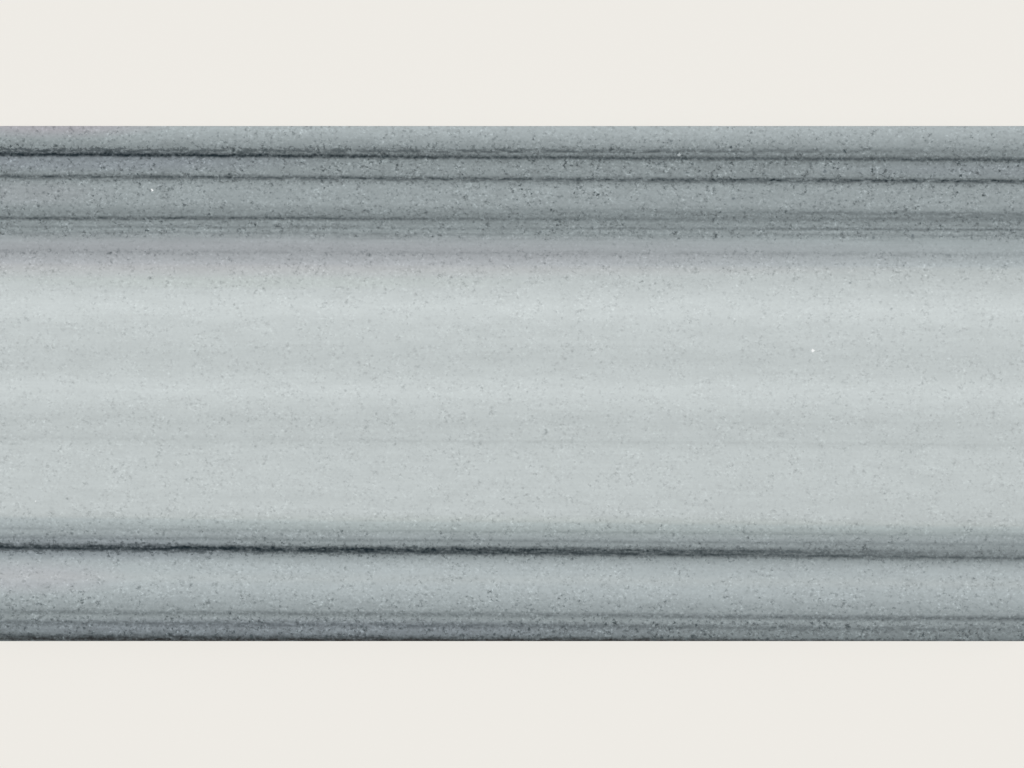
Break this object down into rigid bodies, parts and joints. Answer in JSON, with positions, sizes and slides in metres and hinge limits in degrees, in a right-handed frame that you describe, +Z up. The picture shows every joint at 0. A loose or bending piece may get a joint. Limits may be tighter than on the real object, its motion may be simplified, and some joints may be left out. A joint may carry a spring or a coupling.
{
  "type": "marble slab",
  "caption": "Rectangular slab of banded grey marble with a flat honed face, eased upper arrises, and a sawn underside and edges for bedding and jointing.",
  "frame": {"origin": "middle of the sawn underside, on the surface that the slab rests on", "axes": "+X along the slab's length, which is the direction of the bands in the stone, +Y across the bands, +Z up, out of the honed face"},
  "size_m": [0.61, 0.305, 0.02],
  "materials": {
    "honed_marble": "satin"
  },
  "bodies": {
    "root": {"slab": "honed_marble"}
  },
  "joints": []
}
